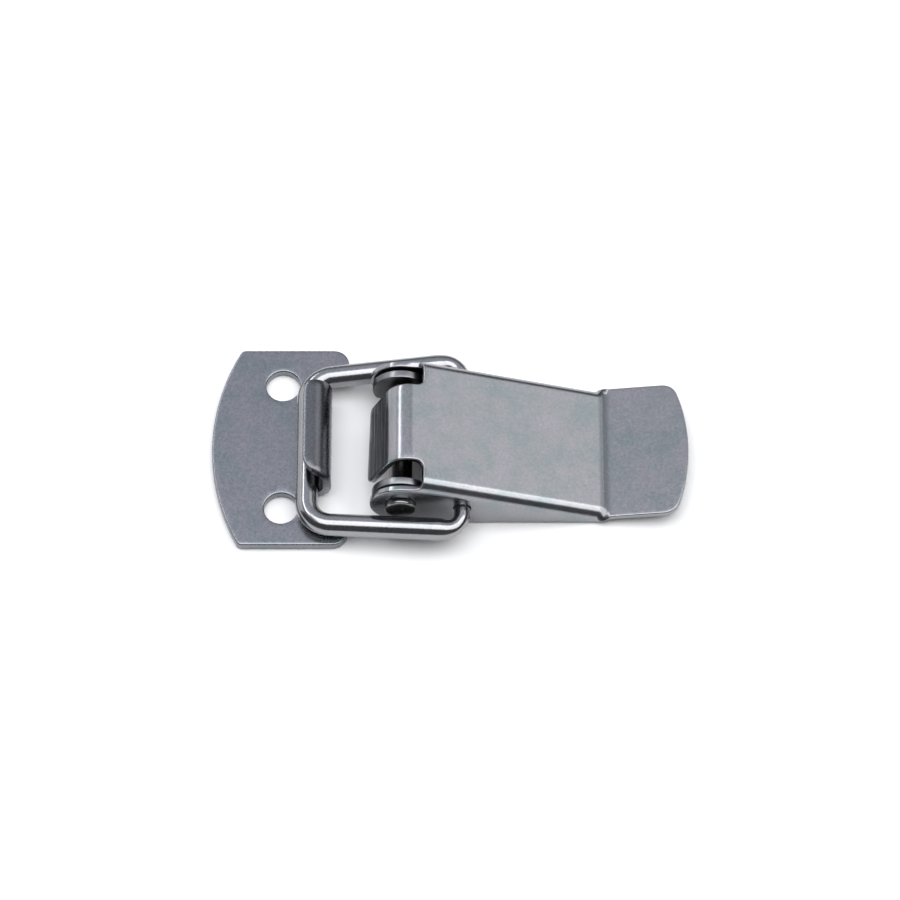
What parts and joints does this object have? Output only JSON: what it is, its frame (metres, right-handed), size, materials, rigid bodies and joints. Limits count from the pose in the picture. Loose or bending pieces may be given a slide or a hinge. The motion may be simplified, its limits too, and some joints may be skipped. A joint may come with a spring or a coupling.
{
  "type": "toggle latch",
  "caption": "Over-centre toggle latch: folded steel lever with thumb tab pulls a wire bail into the hook of a curved-end keeper plate.",
  "frame": {"origin": "middle of the closed latch's bounding box, on the mounting plane", "axes": "+X from the keeper towards the thumb tab, +Y across the latch, +Z away from the mounting plane"},
  "size_m": [0.072, 0.0343, 0.012],
  "materials": {
    "keeper_steel": "satin pressed sheet",
    "lever_steel": "satin pressed sheet",
    "base_steel": "satin pressed sheet",
    "rivet_steel": "bright turned",
    "wire_steel": "bright drawn wire"
  },
  "bodies": {
    "base": {"keeper_plate": "keeper_steel", "base_plate": "base_steel", "pivot_rivet": "rivet_steel"},
    "lever": {"lever": "lever_steel"},
    "bail": {"bail": "wire_steel"}
  },
  "joints": [
    {"name": "lever_hinge", "type": "hinge", "parent": "base", "child": "lever", "pos_m": [-0.0074, -0.0008, 0.0057], "axis": [0, -1, 0], "range_deg": [0, 88]},
    {"name": "bail_hinge", "type": "hinge", "parent": "lever", "child": "bail", "pos_m": [0.0018, -0.0008, 0.0046], "axis": [0, -1, 0], "range_deg": [-64, 0]}
  ],
  "couplings": [
    {"joint": "bail_hinge", "follows": "lever_hinge", "ratio": -0.7}
  ]
}
